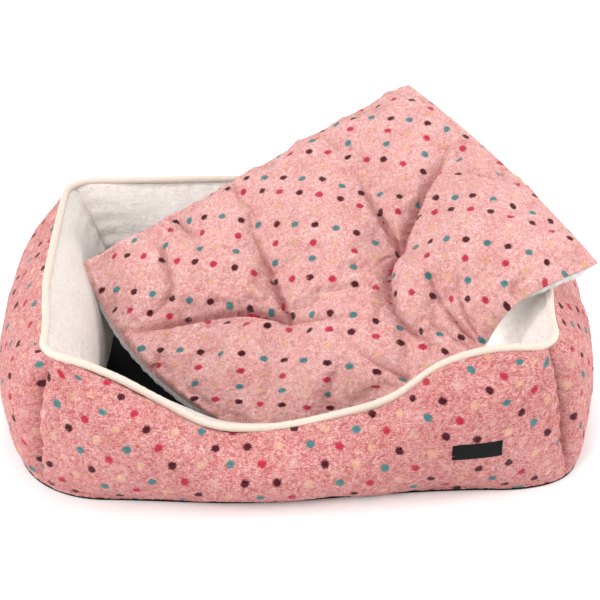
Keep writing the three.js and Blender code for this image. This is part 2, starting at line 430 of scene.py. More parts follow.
def wall_skin(name, facing, thickness, material, anchor):
    """The plush skin on one face of a wall, as cut, sewn and stuffed."""
    side = SIDES[name]
    seed = 10 * side["turn"] + (0 if facing > 0 else 100)
    widest = BULGE_RING if facing > 0 else LINER_RING
    run = 2 * (widest[side["along"]] - widest["radius"]) + widest["radius"] * math.pi / 2
    u = np.linspace(-SEAM_END, SEAM_END, even_count(run) + 1)
    v = np.linspace(0, 1, even_count(SKIN_HEIGHT) + 1)
    grid = wall_face(side, *np.meshgrid(u, v), facing)
    if facing < 0:
        grid = grid[:, ::-1]
    normal = slopes(grid)[2]
    up = lengths(grid, 0)
    across = lengths(grid, 1)
    across = across - across[:, [across.shape[1] // 2]]
    to_corner = np.minimum(across - across[:, :1], across[:, -1:] - across)
    height = up[-1:]
    to_rim, to_foot = height - up, up

    plump = 2.2 * noise(across, up, 75, seed + 1) + 1.1 * noise(across, up, 31, seed + 2)
    middle = np.sin(math.pi * np.clip(up / height, 0, 1)) ** 0.6
    seam = SEAM_PULL[facing] * middle + 2
    pull_in = seam * fading(to_corner, SEAM_WIDTH) + 0.8 * fading(to_rim, 4) + 2 * fading(to_foot, 5)
    pull_in -= SEAM_RIDGE * middle * np.exp(-((to_corner - RIDGE_AT) / RIDGE_WIDTH) ** 2)
    gathers = ripples(up, 17, 5 * noise(across, up, 24, seed + 3))
    gathers = 1.7 * gathers * fading(to_corner, 19) * (1 - fading(to_corner, 3)) * middle
    puckers = ripples(across, 15, 7 * noise(across, up, 30, seed + 4))
    puckers = 0.9 * puckers * fading(to_rim, 12) * (1 - fading(to_rim, 3))
    crown = LINER_CROWN[name] * middle * (1 - fading(to_corner, 45)) if facing < 0 else 0
    swell = crown + plump * (1 - fading(to_corner, 9)) + gathers + puckers - pull_in
    swell *= 1 - fading(to_foot, 2)
    pile = curls(grid, CURL, seed + 5)
    lift = (PILE if facing > 0 else LINER_PILE) * (pile - PILE_LEVEL)
    lift *= (1 - fading(to_corner, 2)) * (1 - fading(to_rim, 1.5))
    face = grid + normal * (swell + lift)[..., None]
    back = grid + normal * (swell - thickness * (1 - 0.4 * fading(to_rim, 6)))[..., None]
    face[..., 2] = np.maximum(face[..., 2], WALL_FOOT - 0.2)
    back[..., 2] = np.maximum(back[..., 2], WALL_FOOT - 0.2)
    points, faces = shell(face, back)
    turn = PRINT_TURN if facing > 0 else 0.0
    printed_x = across * math.cos(turn) - up * math.sin(turn) - anchor[0]
    printed_y = across * math.sin(turn) + up * math.cos(turn) - anchor[1]
    fabric = np.stack([printed_x, printed_y], -1).reshape(-1, 2)
    kind = "outer_panel" if facing > 0 else "liner_panel"
    piece = new_object(f"plush_{kind}_{name}", points, faces, material, fabric, pile)
    finish_piece(piece, "bed", f"{kind}_{name}")
    return piece


def wall_filling(name, material):
    """The lumpy fibre filling between a wall's two skins, clear of its seams."""
    side = SIDES[name]
    cols, rows = 60, 24
    u, v = np.meshgrid(np.linspace(-0.95, 0.95, cols), np.linspace(0.02, 0.93, rows))
    outer, inner = wall_face(side, u, v, 1), wall_face(side, u, v, -1)
    x, y = np.meshgrid(np.arange(cols) * 9.0, np.arange(rows) * 7.0)
    lumps = 1.5 * noise(x, y, 22, side["turn"] + 40)
    outer -= slopes(outer)[2] * (OUTER_PLUSH + 6 + lumps)[..., None]
    inner += slopes(inner)[2] * (LINER_PLUSH + 3 + lumps)[..., None]
    points, faces = shell(outer, inner, 1)
    piece = new_object(f"fibre_filling_{name}", points, faces, material)
    finish_piece(piece, "bed", f"bolster_fill_{name}")
    return piece


# ---------------- piping, base and label


def rim_line():
    """Points of the piping's centre line, once round the bed from the middle of the back."""
    order = [
        ("back", 0.0, 1.0), ("left", -1.0, 1.0), ("front", -1.0, 1.0), ("right", -1.0, 1.0),
        ("back", -1.0, 0.0),
    ]
    parts = []
    for name, first, last in order:
        u = np.linspace(first, last, 400)[:-1]
        parts.append(to_bed(SIDES[name], *rim_place(SIDES[name], u)))
    return np.concatenate(parts)


def resample(line, step):
    """Points about a step apart round a closed line, and how far along it each one lies."""
    closed = np.concatenate([line, line[:1]])
    run = np.concatenate([[0], np.cumsum(np.linalg.norm(np.diff(closed, axis=0), axis=1))])
    count = round(run[-1] / step)
    places = np.linspace(0, run[-1], count, endpoint=False)
    return np.stack([np.interp(places, run, closed[:, k]) for k in range(3)], -1), places


def smoothed_loop(line, rounds):
    """A closed line with its kinks evened out, a little more with each round."""
    for _ in range(rounds):
        line = (np.roll(line, 1, 0) + 2 * line + np.roll(line, -1, 0)) / 4
    return line


def rim_piping(material):
    """The cord in the rim, with the slanting wrinkles of the cloth that is wound round it."""
    line, run = resample(smoothed_loop(rim_line(), 6), FINE)
    line = smoothed_loop(line, 12)
    tangent = unit(np.roll(line, -1, 0) - np.roll(line, 1, 0))
    sideways = unit(np.cross(tangent, [0.0, 0.0, 1.0]))
    upward = np.cross(sideways, tangent)
    turn = np.linspace(0, 2 * math.pi, PIPING_SIDES, endpoint=False)[None]
    girth = CORD_RADIUS * turn
    long = run[:, None]
    radius = CORD_RADIUS + 0.25 * noise(long, girth, 26, 61)
    slant = ripples(long + 0.8 * girth, 8.5, 5 * noise(long, girth, 17, 62))
    radius = radius + 0.16 * slant * (0.5 + 0.5 * noise(long, girth, 40, 63))
    radius = radius + 0.2 * noise(long, girth, 2.8, 64)
    points = (
        line[:, None]
        + (radius * np.cos(turn))[..., None] * sideways[:, None]
        + (radius * np.sin(turn))[..., None] * upward[:, None]
    )
    count = len(line)
    ids = np.arange(count * PIPING_SIDES).reshape(count, PIPING_SIDES)
    after, beside = np.roll(ids, -1, 0), np.roll(ids, -1, 1)
    corner = np.roll(after, -1, 1)
    faces = np.stack([ids, beside, corner, after], -1).reshape(-1, 4)
    fabric = np.stack(np.broadcast_arrays(long, girth), -1).reshape(-1, 2)
    piece = new_object("piping_cord", points.reshape(-1, 3), faces.tolist(), material, fabric)
    finish_piece(piece, "bed", "rim_piping")
    return piece


def base_cloth(material):
    """The black base: a thin stiff cloth with a rounded edge, a little uneven in the well."""
    outline = []
    for name in ("front", "right", "back", "left"):
        u = np.linspace(-1, 1, 160)[:-1]
        outline.append(to_bed(SIDES[name], *ring_place(BASE_RING, SIDES[name], u), 0 * u))
    outline, run = resample(np.concatenate(outline), 3.0)
    outward = unit(np.cross(np.roll(outline, -1, 0) - np.roll(outline, 1, 0), [0, 0, 1.0]))
    shares = [1.0, 0.985, 0.96, 0.92, 0.85, 0.75, 0.62, 0.48, 0.34, 0.2, 0.08]
    edge_inset = 0.6
    rows = []
    for share in shares[::-1]:
        rows.append(outline * [share, share, 0] - outward * (edge_inset if share == 1 else 0))
    for inset, height in ((0.15, 0.25), (0.0, BASE_TOP / 2), (0.15, BASE_TOP - 0.25)):
        rows.append(outline * [1, 1, 0] - outward * inset + [0, 0, height])
    for share in shares:
        inset = outward * (edge_inset if share == 1 else 0)
        top = outline * [share, share, 0] + [0, 0, BASE_TOP] - inset
        well = np.clip((1 - share) / 0.2, 0, 1)
        top[:, 2] += well * (0.7 + 0.7 * noise(top[:, 0], top[:, 1], 38, 70))
        rows.append(top)
    grid = np.stack(rows)
    count = grid.shape[1]
    ids = np.arange(grid.shape[0] * count).reshape(-1, count)
    beside = np.roll(ids, -1, 1)
    faces = np.stack([ids[:-1], ids[1:], beside[1:], beside[:-1]], -1).reshape(-1, 4)[:, ::-1].tolist()
    faces.append(ids[0].tolist()[::-1])
    faces.append(ids[-1].tolist())
    points = grid.reshape(-1, 3)
    piece = new_object("base_cloth_sheet", points, faces, material, points[:, :2])
    finish_piece(piece, "bed", "base_cloth")
    return piece


LABEL = {"x": 167, "width": 46, "height": 17, "thickness": 0.9, "level": 0.45, "tilt": 3.6}
LABEL_STEP = 0.5  # spacing of its grid


def woven_label(material):
    """A blank woven label, folded under and stitched down at both ends."""
    side = SIDES["front"]
    x = np.linspace(-0.5, 0.5, round(LABEL["width"] / LABEL_STEP) + 1) * LABEL["width"]
    y = np.linspace(-0.5, 0.5, round(LABEL["height"] / LABEL_STEP) + 1) * LABEL["height"]
    x, y = np.meshgrid(x, y)
    tilt = math.radians(LABEL["tilt"])
    turned_x = x * math.cos(tilt) - y * math.sin(tilt)
    turned_y = x * math.sin(tilt) + y * math.cos(tilt)
    straight_half = BULGE_RING["x"] - BULGE_RING["radius"]
    u = (LABEL["x"] + turned_x) / straight_half * side["straight"]
    v = LABEL["level"] + turned_y / (RIM_HEIGHT + 8)
    grid = wall_face(side, u, v, 1)
    normal = slopes(grid)[2]
    to_end = LABEL["width"] / 2 - np.abs(x)
    to_edge = np.minimum(to_end, LABEL["height"] / 2 - np.abs(y))
    lift = 1.3 + 0.35 * noise(x, y, 15, 80) - 0.5 * fading(to_edge, 0.7)
    stitch = np.exp(-((to_end - 2.2) / 0.45) ** 2) * (0.4 + 0.6 * np.sin(2 * math.pi * y / 2.4) ** 2)
    lift = lift - 0.45 * stitch
    face = grid + normal * lift[..., None]
    back = grid + normal * (lift - LABEL["thickness"])[..., None]
    points, faces = shell(face, back, 1)
    fabric = np.tile(np.stack([x, y], -1).reshape(-1, 2), (2, 1))
    piece = new_object("blank_woven_label", points, faces, material, fabric)
    return finish_piece(piece, "bed", "woven_label")


# ---------------- the cushion


def through(points, share):
    """The Catmull-Rom curve through a row of points, at shares from 0 to 1."""
    knots = np.array([2 * points[0] - points[1], *points, 2 * points[-1] - points[-2]])
    place = np.clip(share, 0, 1) * (len(points) - 1)
    k = np.minimum(place.astype(int), len(points) - 2)
    t = (place - k).reshape(k.shape + (1,) * (knots.ndim - 1))
    a, b, c, d = knots[k], knots[k + 1], knots[k + 2], knots[k + 3]
    return b + t / 2 * (c - a + t * (2 * a - 5 * b + 4 * c - d + t * (3 * (b - c) + d - a)))


def cushion_places(grid):
    """How far along and across the cushion's cloth each point of an even grid lies."""
    rows, cols = grid.shape[:2]
    return np.meshgrid(np.linspace(0, CUSHION_LENGTH, cols), np.linspace(0, CUSHION_WIDTH, rows))


def cushion_middle(p, q):
    """Points of the cushion's middle surface, at shares of its length and width."""
    back, middle, front = (through(row, p) for row in CUSHION_NET)
    return bend(back, middle, front, q[..., None])


def crease_field(x, y, sharp=False):
    """How far the creases and tufts pull the cushion's top in, in millimetres: the wide
    hollows that the stuffing leaves, or only the sharp folds at the bottom of them."""
    pulled = np.zeros_like(x)
    for route, depth, width, keep in CREASES:
        knots = np.array(route) * [CUSHION_LENGTH, CUSHION_WIDTH]
        places = through(knots, np.linspace(0, 1, 25))
        steps = np.linalg.norm(np.diff(places, axis=0), axis=1)
        total, run = steps.sum(), 0.0
        best = np.full_like(x, 1e9)
        share = np.zeros_like(x)
        for (x0, y0), (x1, y1), step in zip(places[:-1], places[1:], steps):
            t = ((x - x0) * (x1 - x0) + (y - y0) * (y1 - y0)) / step ** 2
            t = np.clip(t, 0, 1)
            away = np.hypot(x - x0 - t * (x1 - x0), y - y0 - t * (y1 - y0))
            nearer = away < best
            best = np.where(nearer, away, best)
            share = np.where(nearer, (run + t * step) / total, share)
            run += step
        strength = (1 - share * (1 - keep)) * np.clip(4 * (1.01 - share), 0, 1)
        if sharp:
            fold = FOLD_DEPTH * depth / CREASE_DEPTH * strength * np.exp(-best / FOLD_WIDTH)
        else:
            fold = depth * strength * np.exp(-best / (width * (0.8 + 0.5 * share)))
        pulled = np.maximum(pulled, fold)
    if not sharp:
        for p, q in (TUFT_A, TUFT_B):
            away = np.hypot(x - p * CUSHION_LENGTH, y - q * CUSHION_WIDTH)
            pulled = np.maximum(pulled, TUFT_DEPTH * np.exp(-(away / TUFT_REACH) ** 1.3))
    return pulled


def cushion_start(p, q, facing):
    """The cushion's face before it is stuffed tight. Rows run across it from its back edge."""
    middle = cushion_middle(p, q)
    frontward, along, downward = slopes(middle)
    x, y = p * CUSHION_LENGTH, q * CUSHION_WIDTH
    fullness = np.clip(16 * p * (1 - p) * q * (1 - q), 0, 1) ** 0.42
    creases = crease_field(x, y) * (1.0 if facing > 0 else 0.5)
    rumpled = 2.6 * noise(x, y, 50, 90 + facing) + 1.4 * noise(x, y, 22, 93 + facing)
    height = CUSHION_START * fullness + (rumpled - creases) * fullness
    face = middle - facing * downward * height[..., None]
    if facing < 0:
        bag = UNDERSIDE_BAG * x / BAG_AT * np.exp(1 - x / BAG_AT) * np.sin(math.pi * q) ** 0.4
        near_tip = eased((p - 0.72) / 0.12) * eased((1 - p) / 0.06)
        y = CUSHION_WIDTH * (1 - q)
        tip_bag = TIP_BAG * y / BAG_AT * np.exp(1 - y / BAG_AT) * near_tip
        face = face - unit(along) * bag[..., None] + unit(frontward) * tip_bag[..., None]
    return face


def cushion_faces():
    """The top and bottom faces of the stuffed cushion, on one even grid."""
    cols, rows = (round(length / CLOTH_STEP) for length in (CUSHION_LENGTH, CUSHION_WIDTH))
    p, q = np.meshgrid(np.linspace(0, 1, cols + 1), np.linspace(0, 1, rows + 1))
    top, bottom = cushion_start(p, q, 1), cushion_start(p, q, -1)
    edge = np.zeros(p.shape, bool)
    edge[0] = edge[-1] = edge[:, 0] = edge[:, -1] = True
    top_ids = np.arange(p.size).reshape(p.shape)
    bottom_ids = top_ids + p.size
    inner = np.cumsum(~edge.ravel()).reshape(p.shape) - 1 + p.size
    bottom_ids = np.where(edge, top_ids, inner)
    points = np.concatenate([top.reshape(-1, 3), bottom[~edge]])
    creases = crease_field(p * CUSHION_LENGTH, q * CUSHION_WIDTH)
    held_top = np.where(edge, 1.0, np.clip(creases / 7 - 0.9, 0, 1))
    held = np.concatenate([held_top.ravel(), 0.6 * held_top[~edge]])
    faces = quads(top_ids)[:, ::-1].tolist() + quads(bottom_ids).tolist()
    settled = stuff(points, faces, held, pressure=5.0, growth=0.05, cap=13.0)
    return parted(settled[top_ids], settled[bottom_ids])


def parted(top, bottom):
    """The two faces, moved apart beside the seam wherever they have come too close."""
    x, y = cushion_places(top)
    to_seam = np.minimum(np.minimum(x, CUSHION_LENGTH - x), np.minimum(y, CUSHION_WIDTH - y))
    upward = -slopes((top + bottom) / 2)[2]
    between = np.sum((top - bottom) * upward, axis=2)
    short = np.maximum(SEAM_SWELL * (1 - fading(to_seam, SEAM_SWELL)) - between, 0)[..., None]
    return top + upward * short / 2, bottom - upward * short / 2


def stuff(points, faces, held, pressure, growth, cap, frames=24):
    """Blows a closed cloth up by simulation, held where held is 1, moving no point further
    than cap. growth is how much larger the cloth is cut than the shape it starts from."""
    scene = bpy.context.scene
    piece = new_object("stuffed", points, faces, None)
    group = piece.vertex_groups.new(name="held")
    for index, weight in enumerate(held.tolist()):
        if weight > 0:
            group.add([index], weight, "REPLACE")
    cloth = piece.modifiers.new("cloth", "CLOTH")
    cloth.point_cache.frame_end = frames
    settings = cloth.settings
    settings.quality = 6
    settings.mass = 0.2
    settings.air_damping = 4.0
    settings.tension_stiffness = 12.0
    settings.compression_stiffness = 12.0
    settings.shear_stiffness = 5.0
    settings.bending_stiffness = 0.6
    settings.use_pressure = True
    settings.uniform_pressure_force = pressure
    settings.shrink_min = -growth
    settings.vertex_group_mass = "held"
    settings.pin_stiffness = 4.0
    settings.effector_weights.gravity = 0.0
    for frame_number in range(1, frames + 1):
        scene.frame_set(frame_number)
    evaluated = piece.evaluated_get(bpy.context.evaluated_depsgraph_get())
    moved = np.zeros(len(points) * 3, np.float32)
    evaluated.data.vertices.foreach_get("co", moved)
    mesh = piece.data
    bpy.data.objects.remove(piece)
    bpy.data.meshes.remove(mesh)
    scene.frame_set(1)
    shift = moved.reshape(-1, 3) / MM - points
    far = np.linalg.norm(shift, axis=1, keepdims=True)
    return points + shift * np.minimum(1, cap / np.maximum(far, 1e-6))


def finer(grid, rows, cols):
    """The same surface on a finer grid, by Catmull-Rom curves both ways."""
    grid = through(grid, np.linspace(0, 1, rows))
    return np.swapaxes(through(np.swapaxes(grid, 0, 1), np.linspace(0, 1, cols)), 0, 1)


def spread(values, reach):
    """The highest value within reach steps along both ways of a grid."""
    for axis in (0, 1):
        shifted = [np.roll(values, step, axis) for step in range(-reach, reach + 1)]
        values = np.max(shifted, axis=0)
    return values


def cushion_panel(grid, facing, material, anchor):
    """The plush skin on the cushion's top (facing 1) or underside (-1)."""
    rows, cols = even_count(CUSHION_WIDTH) + 1, even_count(CUSHION_LENGTH) + 1
    p, q = np.meshgrid(np.linspace(0, 1, cols), np.linspace(0, 1, rows))
    grid = finer(grid, rows, cols)
    if facing > 0:
        grid, p, q = grid[::-1], p[::-1], q[::-1]
    normal = slopes(grid)[2]
    x, y = p * CUSHION_LENGTH, q * CUSHION_WIDTH
    to_side, to_end = np.minimum(x, CUSHION_LENGTH - x), np.minimum(y, CUSHION_WIDTH - y)
    to_seam = np.minimum(to_side, to_end)
    edgewise = np.where(to_side < to_end, y, x)
    puckers = ripples(edgewise, 19, 6 * noise(x, y, 26, 97))
    puckers = puckers * fading(to_seam, 14) * (1 - fading(to_seam, 5))
    folds = crease_field(x, y, sharp=True) * (1 - fading(to_seam, 5)) * (facing > 0)
    # The pile is set low along the sharp folds. This flattens the curls there and, through the plush
    # material, paints the fold bottoms in its deep shade colour without dots.
    pile = curls(grid, CURL, 95 + facing) * (1 - np.clip(1.2 * folds / FOLD_DEPTH, 0, 1))
    lift = (PILE if facing > 0 else UNDERSIDE_PILE) * (pile - PILE_LEVEL) * (1 - fading(to_seam, 2))
    swell = 0.5 + puckers
    face = grid + normal * (swell - folds + lift)[..., None]
    thick = CUSHION_PLUSH * (1 - 0.85 * fading(to_seam, 4)) + spread(folds, COARSE)
    back = grid + normal * (swell - thick)[..., None]
    points, faces = shell(face, back)
    fabric = (np.stack([CUSHION_LENGTH - x, y], -1) * CLOTH_GATHER - anchor).reshape(-1, 2)
    kind = "top" if facing > 0 else "bottom"
    piece = new_object(f"cushion_{kind}_plush", points, faces, material, fabric, pile)
    finish_piece(piece, "cushion", f"cushion_{kind}_panel")
    return piece


def cushion_filling(top, bottom, material):
    """The fibre filling between the cushion's two faces, clear of the folds and the seam."""
    middle = (top + bottom) / 2
    thickness = np.maximum(np.linalg.norm(top - middle, axis=2, keepdims=True), 0.1)
    x, y = cushion_places(top)
    folds = spread(crease_field(x, y, sharp=True), 1)[..., None]
    inside = np.clip(1 - (CUSHION_PLUSH + FILL_GAP) / thickness, 0.05, 1)
    folded = np.clip(1 - (CUSHION_PLUSH + FILL_GAP + 1.6 * folds) / thickness, 0.02, 1)
    inset = slice(3, -3)
    top = (middle + (top - middle) * folded)[inset, inset]
    bottom = (middle + (bottom - middle) * inside)[inset, inset]
    points, faces = shell(top[::-1], bottom[::-1], 1)
    piece = new_object("fibre_filling_cushion", points, faces, material)
    finish_piece(piece, "cushion", "cushion_fill")
    return piece


# ---------------- materials


class Nodes:
    """Short calls that add and join the nodes of one material."""

    def __init__(self, name):
        self.material = bpy.data.materials.new(name)
        self.material.use_nodes = True
        self.tree = self.material.node_tree
        self.shader = self.tree.nodes["Principled BSDF"]

    def add(self, kind, inputs=(), **settings):
        node = self.tree.nodes.new(kind)
        for key, value in settings.items():
            setattr(node, key, value)
        for key, value in dict(inputs).items():
            self.set(node.inputs[key], value)
        return node

    def set(self, socket, value):
        if isinstance(value, bpy.types.NodeSocket):
            self.tree.links.new(value, socket)
        else:
            socket.default_value = value

    def math(self, operation, *values):
        return self.add("ShaderNodeMath", enumerate(values), operation=operation).outputs[0]

    def vector(self, operation, *values):
        node = self.add("ShaderNodeVectorMath", enumerate(values), operation=operation)
        return node.outputs["Value" if operation == "LENGTH" else 0]

    def noise(self, place, scale, detail=2.0, distortion=0.0):
        inputs = {"Vector": place, "Scale": scale, "Detail": detail, "Distortion": distortion}
        return self.add("ShaderNodeTexNoise", inputs)

    def mix(self, share, first, second, blend="MIX"):
        inputs = {"Factor": share, "A": first, "B": second}
        node = self.add("ShaderNodeMix", inputs, data_type="RGBA", blend_type=blend)
        return node.outputs["Result"]

    def steps(self, share, stops):
        node = self.add("ShaderNodeValToRGB")
        node.color_ramp.interpolation = "CONSTANT"
        elements = node.color_ramp.elements
        while len(elements) < len(stops):
            elements.new(1.0)
        for element, (place, colour) in zip(elements, stops):
            element.position = place
            element.color = colour
        self.set(node.inputs[0], share)
        return node.outputs[0]

    def fabric(self):
        return self.add("ShaderNodeAttribute", attribute_name="fabric").outputs["Vector"]

    def range(self, value, low, high, first, last):
        inputs = {"Value": value, "From Min": low, "From Max": high, "To Min": first, "To Max": last}
        return self.add("ShaderNodeMapRange", inputs).outputs["Result"]

    def bump(self, height, distance, strength):
        inputs = {"Height": height, "Distance": distance, "Strength": strength}
        return self.add("ShaderNodeBump", inputs).outputs["Normal"]

    def finish(self, colour, roughness, normal, sheen=0.0):
        self.set(self.shader.inputs["Base Color"], colour)
        self.set(self.shader.inputs["Roughness"], roughness)
        self.set(self.shader.inputs["Normal"], normal)
        self.shader.inputs["Sheen Weight"].default_value = sheen
        self.shader.inputs["Sheen Roughness"].default_value = 0.3
        self.shader.inputs["Specular IOR Level"].default_value = 0.15
        return self.material


def srgb(red, green, blue):
    """A colour given as 0 to 255 on a screen, as the shader's linear values."""
    def linear(value):
        value /= 255
        return value / 12.92 if value <= 0.04045 else ((value + 0.055) / 1.055) ** 2.4
    return (linear(red), linear(green), linear(blue), 1.0)


RASPBERRY = srgb(218, 52, 82)
CREAM = srgb(255, 198, 168)
TEAL = srgb(80, 148, 148)
MAROON = srgb(82, 0, 22)
PALE_PINK = srgb(250, 190, 180)
# The print: two dots for each row, in rows that repeat
DOT_ROWS = [
    (RASPBERRY, CREAM), (TEAL, CREAM), (MAROON, RASPBERRY), (PALE_PINK, CREAM),
    (TEAL, MAROON), (MAROON, RASPBERRY), (PALE_PINK, CREAM), (TEAL, MAROON),
]
DOT_STEP = (14.5, 17.5)  # half the spacing in a row, and the spacing of the rows
DOT_RADIUS = 4.2
DOT_FUZZ = 3.4  # how far the pile carries their edges to and fro
DOT_JITTER = 1.6


def dot_print(nodes, place, ground, shade, pile):
    """Round dots on a staggered lattice, fuzzy at the edge, over the ground colour. They have painted
    shade: they are darker in the dips between curls, and along the folds, where the pile is set low,
    they give way to the ground's painted shade colour."""
    fuzz = nodes.noise(place, 0.55, 2.0)
    shift = nodes.vector("SUBTRACT", fuzz.outputs["Color"], (0.5, 0.5, 0.5))
    fuzzy = nodes.vector("MULTIPLY_ADD", shift, (DOT_FUZZ, DOT_FUZZ, 0.0), place)
    parts = nodes.add("ShaderNodeSeparateXYZ", {"Vector": fuzzy})
    x = nodes.math("DIVIDE", parts.outputs["X"], 2 * DOT_STEP[0])
    y = nodes.math("DIVIDE", parts.outputs["Y"], 2 * DOT_STEP[1])
    a = nodes.math("ROUND", nodes.math("SUBTRACT", x, y))
    b = nodes.math("ROUND", nodes.math("ADD", x, y))
    site_x = nodes.math("MULTIPLY", nodes.math("ADD", a, b), DOT_STEP[0])
    site_y = nodes.math("MULTIPLY", nodes.math("SUBTRACT", b, a), DOT_STEP[1])
    site = nodes.add("ShaderNodeCombineXYZ", {"X": site_x, "Y": site_y}).outputs[0]
    scatter = nodes.add("ShaderNodeTexWhiteNoise", {"Vector": site}, noise_dimensions="2D")
    jitter = nodes.vector("SUBTRACT", scatter.outputs["Color"], (0.5, 0.5, 0.5))
    centre = nodes.vector("MULTIPLY_ADD", jitter, (DOT_JITTER, DOT_JITTER, 0.0), site)
    flat = nodes.vector("MULTIPLY", nodes.vector("SUBTRACT", fuzzy, centre), (1.0, 1.0, 0.0))
    distance = nodes.vector("LENGTH", flat)
    inside = nodes.range(distance, DOT_RADIUS - 1.0, DOT_RADIUS + 0.7, 1.0, 0.0)
    rows = float(len(DOT_ROWS))
    row = nodes.math("FLOORED_MODULO", b, rows)
    round_up = nodes.math("FLOOR", nodes.math("DIVIDE", nodes.math("ADD", b, 0.01), rows))
    odd = nodes.math("FLOORED_MODULO", nodes.math("ADD", a, round_up), 2.0)
    index = nodes.math("MULTIPLY_ADD", row, 2.0, odd)
    share = nodes.math("DIVIDE", nodes.math("ADD", index, 0.5), 2 * rows)
    dots = [colour for pair in DOT_ROWS for colour in pair]
    stops = [(k / len(dots), colour) for k, colour in enumerate(dots)]
    colours = nodes.steps(share, stops)
    # Painted shade of the dots: a darker copy of their colours, used in the dips between curls.
    darker = nodes.mix(1.0, colours, (0.62, 0.6, 0.62, 1.0), "MULTIPLY")
    # How much of a dot shows: a little less on the lighter curl tops, and none along the folds, where
    # the ground's painted shade shows instead.
    wear_and_shade = nodes.math("MULTIPLY", inside, nodes.range(shade, 0.0, 1.0, 1.0, 0.94))
    wear_and_shade = nodes.math("MULTIPLY", wear_and_shade, nodes.range(pile, 0.12, 0.3, 0.0, 1.0))
    return nodes.mix(wear_and_shade, ground, nodes.mix(shade, darker, colours))


STRANDS_PER_METRE = 580.0
FIBRES_PER_METRE = 1100.0


def plush(name, deep, tip, lie=(1.0, 1.0, 1.0), spots=False, strength=1.0):
    """Short curly pile: winding strands, with painted shade. The deep colour is painted down between
    them and in the folds, and they are lighter at the tips. The strands run across the way in which
    lie is greatest. With spots, the cloth has the print. Every plush also has painted soft shade in
    patches placed at random, and with spots these are redder as well."""
    nodes = Nodes(name)
    place = nodes.fabric()
    space = nodes.add("ShaderNodeTexCoord").outputs["Object"]
    pile = nodes.add("ShaderNodeAttribute", attribute_name="pile").outputs["Fac"]
    swirl = nodes.noise(nodes.vector("MULTIPLY", space, lie), STRANDS_PER_METRE, 2.0, 0.7)
    strand = nodes.math("ABSOLUTE", nodes.math("SUBTRACT", swirl.outputs["Fac"], 0.5))
    strand = nodes.range(strand, 0.0, 0.11, 1.0, 0.0)
    fibre = nodes.noise(space, FIBRES_PER_METRE, 2.0, 0.5)
    height = nodes.math("MULTIPLY_ADD", strand, 0.45, nodes.math("MULTIPLY", pile, 0.45))
    height = nodes.math("MULTIPLY_ADD", fibre.outputs["Fac"], 0.55, height)
    shade = nodes.range(height, 0.5, 1.25, 0.0, 1.0)
    # Painted shade: the deep colour where the curls dip or the pile is set low, and the tip colour on
    # their tops.
    ground = nodes.mix(shade, deep, tip)
    # Painted soft shade in patches about 30 mm across, placed at random: a little darker in some and
    # paler in others, and with spots also redder in the darker ones.
    clumps_and_shade_patches = nodes.noise(place, 0.03, 3.0)
    patchy = nodes.range(clumps_and_shade_patches.outputs["Fac"], 0.3, 0.7, 0.96, 1.03)
    redder = nodes.range(clumps_and_shade_patches.outputs["Fac"], 0.3, 0.7, 0.87, 1.07) if spots else patchy
    colour = dot_print(nodes, place, ground, shade, pile) if spots else ground
    tint = nodes.add("ShaderNodeCombineColor", {"Red": patchy, "Green": redder, "Blue": redder})
    colour = nodes.mix(1.0, colour, tint.outputs[0], "MULTIPLY")
    roughness = nodes.range(shade, 0.0, 1.0, 1.0, 0.88)
    normal = nodes.bump(height, 0.0016 * strength, 0.9)
    return nodes.finish(colour, roughness, normal, sheen=0.14)


def woven(name, colour, thread, ribs, roughness):
    """Plain weave: threads over and under, with uneven yarn."""
    nodes = Nodes(name)
    place = nodes.fabric()
    parts = nodes.add("ShaderNodeSeparateXYZ", {"Vector": place})
    waves = []
    for axis, spacing in (("X", thread), ("Y", thread * ribs)):
        turned = nodes.math("MULTIPLY", parts.outputs[axis], math.pi / spacing)
        waves.append(nodes.math("ABSOLUTE", nodes.math("SINE", turned)))
    weave = nodes.math("MULTIPLY", *waves)
    yarn = nodes.noise(place, 0.8, 3.0)
    height = nodes.math("MULTIPLY_ADD", yarn.outputs["Fac"], 0.5, weave)
    shade = nodes.range(height, 0.2, 1.3, 0.75, 1.25)
    tint = nodes.add("ShaderNodeCombineColor", {"Red": shade, "Green": shade, "Blue": shade})
    colour = nodes.mix(1.0, colour, tint.outputs[0], "MULTIPLY")
    rough = nodes.range(weave, 0.0, 1.0, min(roughness + 0.1, 1.0), roughness)
    return nodes.finish(colour, rough, nodes.bump(height, 0.0003, 0.7))


def piping_cloth():
    """Soft brushed cloth stretched over a cord, with fine slanting wrinkles."""
    nodes = Nodes("cream_piping_cloth")
    place = nodes.fabric()
    nap = nodes.noise(place, 1.1, 3.0, 0.6)
    wear = nodes.noise(place, 0.06, 3.0)
    shade = nodes.range(nap.outputs["Fac"], 0.3, 0.7, 0.0, 1.0)
    colour = nodes.mix(shade, srgb(200, 183, 169), srgb(217, 204, 193))
    wear_and_shade = nodes.range(wear.outputs["Fac"], 0.5, 0.75, 0.0, 0.35)
    colour = nodes.mix(wear_and_shade, colour, srgb(220, 192, 170))
    return nodes.finish(colour, 0.9, nodes.bump(nap.outputs["Fac"], 0.0005, 0.8), sheen=0.2)


def fibre_fill():
    """Loose white polyester fibre, in soft clumps."""
    nodes = Nodes("white_fibre_fill")
    place = nodes.add("ShaderNodeTexCoord").outputs["Object"]
    strands = nodes.noise(place, 900.0, 4.0, 2.5)
    clumps_and_shade_patches = nodes.noise(place, 60.0, 3.0)
    colour = nodes.mix(strands.outputs["Fac"], srgb(225, 224, 220), srgb(252, 252, 250))
    height = nodes.math("ADD", strands.outputs["Fac"], clumps_and_shade_patches.outputs["Fac"])
    return nodes.finish(colour, 1.0, nodes.bump(height, 0.001, 0.8))


